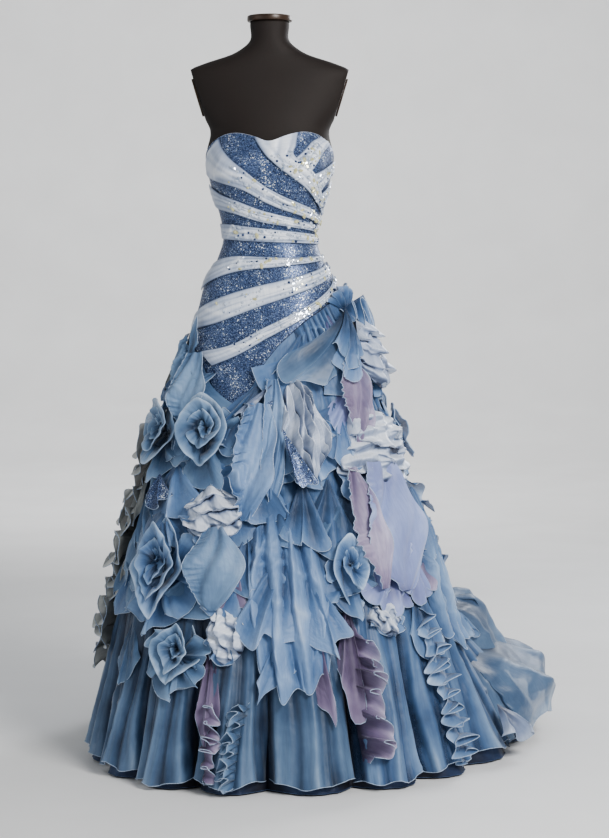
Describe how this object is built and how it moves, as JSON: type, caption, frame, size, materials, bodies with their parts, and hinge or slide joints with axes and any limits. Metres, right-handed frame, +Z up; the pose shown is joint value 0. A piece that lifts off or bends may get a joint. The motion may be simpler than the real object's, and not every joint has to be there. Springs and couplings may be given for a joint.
{
  "type": "ballroom gown on limbless dress form",
  "caption": "Strapless ballroom gown with a banded satin and glitter bodice and a full skirt of organza and satin rosettes, drapes and ruffles with a train, on a limbless dress form.",
  "frame": {"origin": "on the floor, at the middle of the underside of the stand's round foot", "axes": "+Z up along the pole, -Y the way the gown faces, +X towards the wearer's left"},
  "size_m": [1.0804, 1.2793, 1.6535],
  "materials": {
    "glitter_cloth": "blue cloth covered in fine glitter",
    "white_satin": "pale blue-white satin",
    "blue_organza": "sheer dusty blue organza",
    "rose_organza": "sheer mauve organza",
    "taupe_organza": "sheer grey-beige organza",
    "form_skin": "dark brown jersey stretched over the form",
    "form_wood": "dark stained, satin varnish"
  },
  "bodies": {
    "root": {"back_placket": "white_satin", "band_above_waist": "white_satin", "band_centre_cup": "white_satin", "band_high_hip": "white_satin", "band_left_cup": "white_satin", "band_low_hip": "white_satin", "band_right_cup": "white_satin", "band_right_side": "white_satin", "band_under_bust": "white_satin", "band_underarm": "white_satin", "band_waist": "white_satin", "bodice_back_left": "glitter_cloth", "bodice_back_right": "glitter_cloth", "bodice_front": "glitter_cloth", "drape_centre": "blue_organza", "drape_left_front": "blue_organza", "drape_left_hip": "blue_organza", "drape_right_front": "rose_organza", "drape_right_hip": "blue_organza", "drape_right_side": "blue_organza", "form_arm_plate_left": "form_wood", "form_arm_plate_right": "form_wood", "form_neck_cap": "form_wood", "form_stand": "form_wood", "form_torso": "form_skin", "rose_back_left": "blue_organza", "rose_back_low": "blue_organza", "rose_back_right": "white_satin", "rose_back_side": "blue_organza", "rose_centre_folds": "blue_organza", "rose_centre_long": "blue_organza", "rose_left_bud": "blue_organza", "rose_left_front": "blue_organza", "rose_left_large": "blue_organza", "rose_left_low": "blue_organza", "rose_right_side": "blue_organza", "rose_satin_fan": "white_satin", "rose_satin_hip": "white_satin", "rose_satin_left": "white_satin", "rose_satin_low": "white_satin", "rose_satin_right": "white_satin", "rose_satin_tip": "white_satin", "ruffle_back": "blue_organza", "ruffle_back_left": "blue_organza", "ruffle_centre_low": "blue_organza", "ruffle_left_edge": "taupe_organza", "ruffle_right_hip": "blue_organza", "ruffle_right_low": "blue_organza", "ruffle_rose_left": "rose_organza", "ruffle_rose_right": "rose_organza", "ruffle_train_lower": "blue_organza", "ruffle_train_upper": "blue_organza", "skirt_gore_1": "blue_organza", "skirt_gore_2": "blue_organza", "skirt_gore_3": "blue_organza", "skirt_gore_4": "blue_organza", "skirt_gore_5": "blue_organza", "skirt_gore_6": "blue_organza", "skirt_gore_7": "blue_organza", "skirt_gore_8": "blue_organza"}
  },
  "joints": []
}
